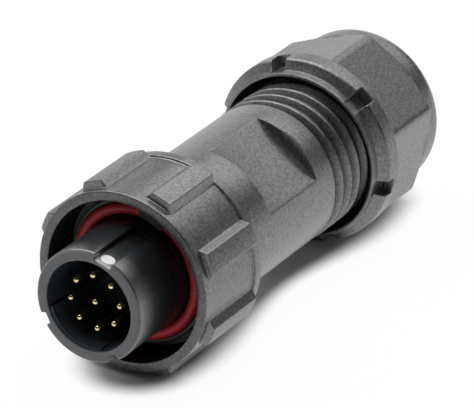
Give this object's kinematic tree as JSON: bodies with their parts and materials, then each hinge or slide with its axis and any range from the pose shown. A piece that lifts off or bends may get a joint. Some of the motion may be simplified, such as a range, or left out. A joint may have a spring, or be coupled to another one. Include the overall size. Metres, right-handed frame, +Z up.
{
  "type": "circular connector",
  "caption": "Sealed round cable plug with gilt pins in a keyed nose, a ribbed bayonet coupling ring, a tubular back shell with spanner flats and a clamping gland nut.",
  "frame": {"origin": "middle of the part's box, on the surface that it lies on", "axes": "+X is the mating direction, out of the nose; +Z is up, with the connector lying on its ring and nut"},
  "size_m": [0.0814, 0.0296, 0.0296],
  "materials": {
    "nose_plastic": "glossy black moulded plastic",
    "insulator_plastic": "black moulded plastic",
    "shell_plastic": "fine matt black filled plastic",
    "gilt": "gold plated contact",
    "dot_paint": "white index mark",
    "red_rubber": "red silicone rubber",
    "black_rubber": "black sealing rubber"
  },
  "bodies": {
    "plug": {"nose_shell": "nose_plastic", "pin_insulator": "insulator_plastic", "insulator_lock_ring": "shell_plastic", "contact_pin_1": "gilt", "contact_pin_2": "gilt", "contact_pin_3": "gilt", "contact_pin_4": "gilt", "contact_pin_5": "gilt", "contact_pin_6": "gilt", "contact_pin_7": "gilt", "contact_pin_8": "gilt", "contact_pin_9": "gilt", "index_dot": "dot_paint", "interface_seal": "red_rubber", "shell_seal": "black_rubber", "back_shell": "shell_plastic", "gland_seal": "black_rubber"},
    "ring": {"coupling_ring": "shell_plastic"},
    "follower": {"gland_follower": "shell_plastic"},
    "nut": {"gland_nut": "shell_plastic"}
  },
  "joints": [
    {"name": "ring_turn", "type": "hinge", "parent": "plug", "child": "ring", "pos_m": [0.02397, 0, 0.0148], "axis": [1, 0, 0], "continuous": true},
    {"name": "follower_travel", "type": "slide", "parent": "plug", "child": "follower", "axis": [1, 0, 0], "range_m": [-0.00261, 0.00261]},
    {"name": "nut_turn", "type": "hinge", "parent": "follower", "child": "nut", "pos_m": [-0.0285, 0, 0.0148], "axis": [1, 0, 0], "range_deg": [-360, 360]}
  ],
  "couplings": [
    {"joint": "follower_travel", "follows": "nut_turn", "m_per_rad": 0.0004138}
  ]
}
